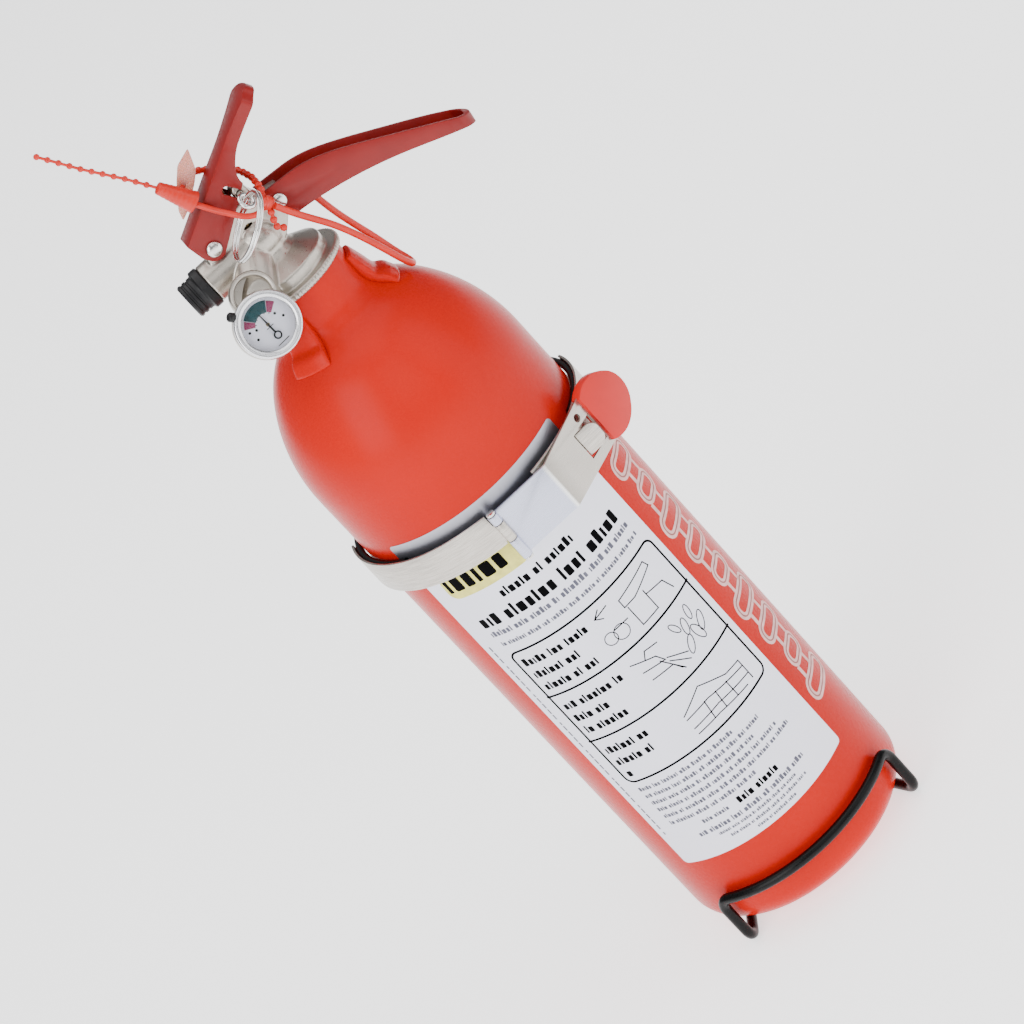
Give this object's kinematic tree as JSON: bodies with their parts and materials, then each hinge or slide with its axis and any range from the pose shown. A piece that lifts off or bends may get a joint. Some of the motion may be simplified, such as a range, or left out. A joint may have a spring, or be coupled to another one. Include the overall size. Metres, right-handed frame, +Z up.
{
  "type": "fire extinguisher",
  "caption": "Hand-held fire extinguisher with a squeeze valve, gauge, pull pin and breakable seal, clamped in a wire and strap wall bracket with a swing latch.",
  "frame": {"origin": "on the plane that the cradle's rails stand on, under the bottle's axis", "axes": "+Z up along the bottle's axis, -Y towards the label and latch, -X towards the nozzle, +X towards the handles, +Y towards the wall"},
  "size_m": [0.1493, 0.1181, 0.4446],
  "materials": {
    "bottle_paint": "gloss",
    "label_foil": "satin",
    "decal_print": "satin",
    "valve_nickel": "satin nickel plate",
    "nozzle_black": "satin",
    "gland_brass": "machined",
    "seal_rubber": "matte",
    "lever_paint": "satin",
    "rivet_steel": "polished",
    "wire_steel": "bright",
    "tube_plastic": "natural",
    "bezel_chrome": "bright",
    "dial_face": "printed",
    "lens_clear": "clear",
    "needle_black": "matte",
    "seal_orange": "gloss",
    "flag_pink": "translucent",
    "strap_steel": "brushed",
    "latch_steel": "brushed",
    "grip_vinyl": "dipped",
    "wire_coating": "satin"
  },
  "bodies": {
    "bracket": {"wire_cradle": "wire_coating", "upper_hoop": "wire_coating", "back_plate": "wire_coating", "strap_left": "strap_steel", "strap_right": "strap_steel", "keeper_tongue": "strap_steel", "latch_pin": "rivet_steel"},
    "latch": {"latch_plate": "latch_steel", "latch_grip": "grip_vinyl"},
    "extinguisher": {"bottle_shell": "bottle_paint", "shoulder_lugs": "bottle_paint", "label": "label_foil", "side_decal": "decal_print", "valve_body": "valve_nickel", "outlet_nozzle": "nozzle_black", "stem_gland": "gland_brass", "neck_o_ring": "seal_rubber", "carry_handle": "lever_paint", "handle_rivet": "rivet_steel", "pivot_rivet": "rivet_steel", "return_spring": "wire_steel", "dip_tube": "tube_plastic", "pickup_strainer": "tube_plastic", "gauge_case": "gland_brass", "gauge_stem": "gland_brass", "gauge_bezel": "bezel_chrome", "gauge_dial": "dial_face", "gauge_lens": "lens_clear", "seal_head": "seal_orange", "seal_flag": "flag_pink", "seal_tail": "seal_orange", "seal_strap": "seal_orange", "seal_knot": "seal_orange", "seal_bead_end": "seal_orange", "lanyard": "seal_orange"},
    "lever": {"squeeze_lever": "lever_paint"},
    "stem": {"valve_stem": "gland_brass", "stem_seal": "seal_rubber"},
    "pin": {"safety_pin": "wire_steel"},
    "ring": {"pull_ring": "wire_steel"},
    "needle": {"gauge_needle": "needle_black"}
  },
  "joints": [
    {"name": "bottle_lift", "type": "slide", "parent": "bracket", "child": "extinguisher", "axis": [0, 0, 1], "range_m": [0, 0.26]},
    {"name": "latch_swing", "type": "hinge", "parent": "bracket", "child": "latch", "pos_m": [-0.0066, -0.05762, 0.2212], "axis": [0, 0, -1], "range_deg": [0, 110]},
    {"name": "lever_squeeze", "type": "hinge", "parent": "extinguisher", "child": "lever", "pos_m": [-0.0154, 0, 0.3694], "axis": [0, 1, 0], "range_deg": [0, 14], "stiffness_Nm_per_rad": 0.5, "springref_deg": -11.46, "deforming": ["seal_strap"]},
    {"name": "stem_push", "type": "slide", "parent": "extinguisher", "child": "stem", "axis": [0, 0, -1], "range_m": [0, 0.0051], "deforming": ["return_spring"]},
    {"name": "pin_pull", "type": "slide", "parent": "extinguisher", "child": "pin", "axis": [0, -1, 0], "range_m": [0, 0.04], "deforming": ["seal_strap", "seal_knot", "seal_bead_end", "lanyard"]},
    {"name": "ring_swing", "type": "hinge", "parent": "pin", "child": "ring", "pos_m": [0.006, -0.0156, 0.3779], "axis": [0.7098, -0.5501, 0.4401], "range_deg": [-35, 60], "deforming": ["seal_strap", "seal_knot", "seal_bead_end", "lanyard"]},
    {"name": "needle_turn", "type": "hinge", "parent": "extinguisher", "child": "needle", "pos_m": [-0.01952, -0.03078, 0.33557], "axis": [0.0982, -0.9345, 0.342], "range_deg": [-50, 50]}
  ],
  "couplings": [
    {"joint": "stem_push", "follows": "lever_squeeze", "m_per_rad": 0.0207}
  ]
}
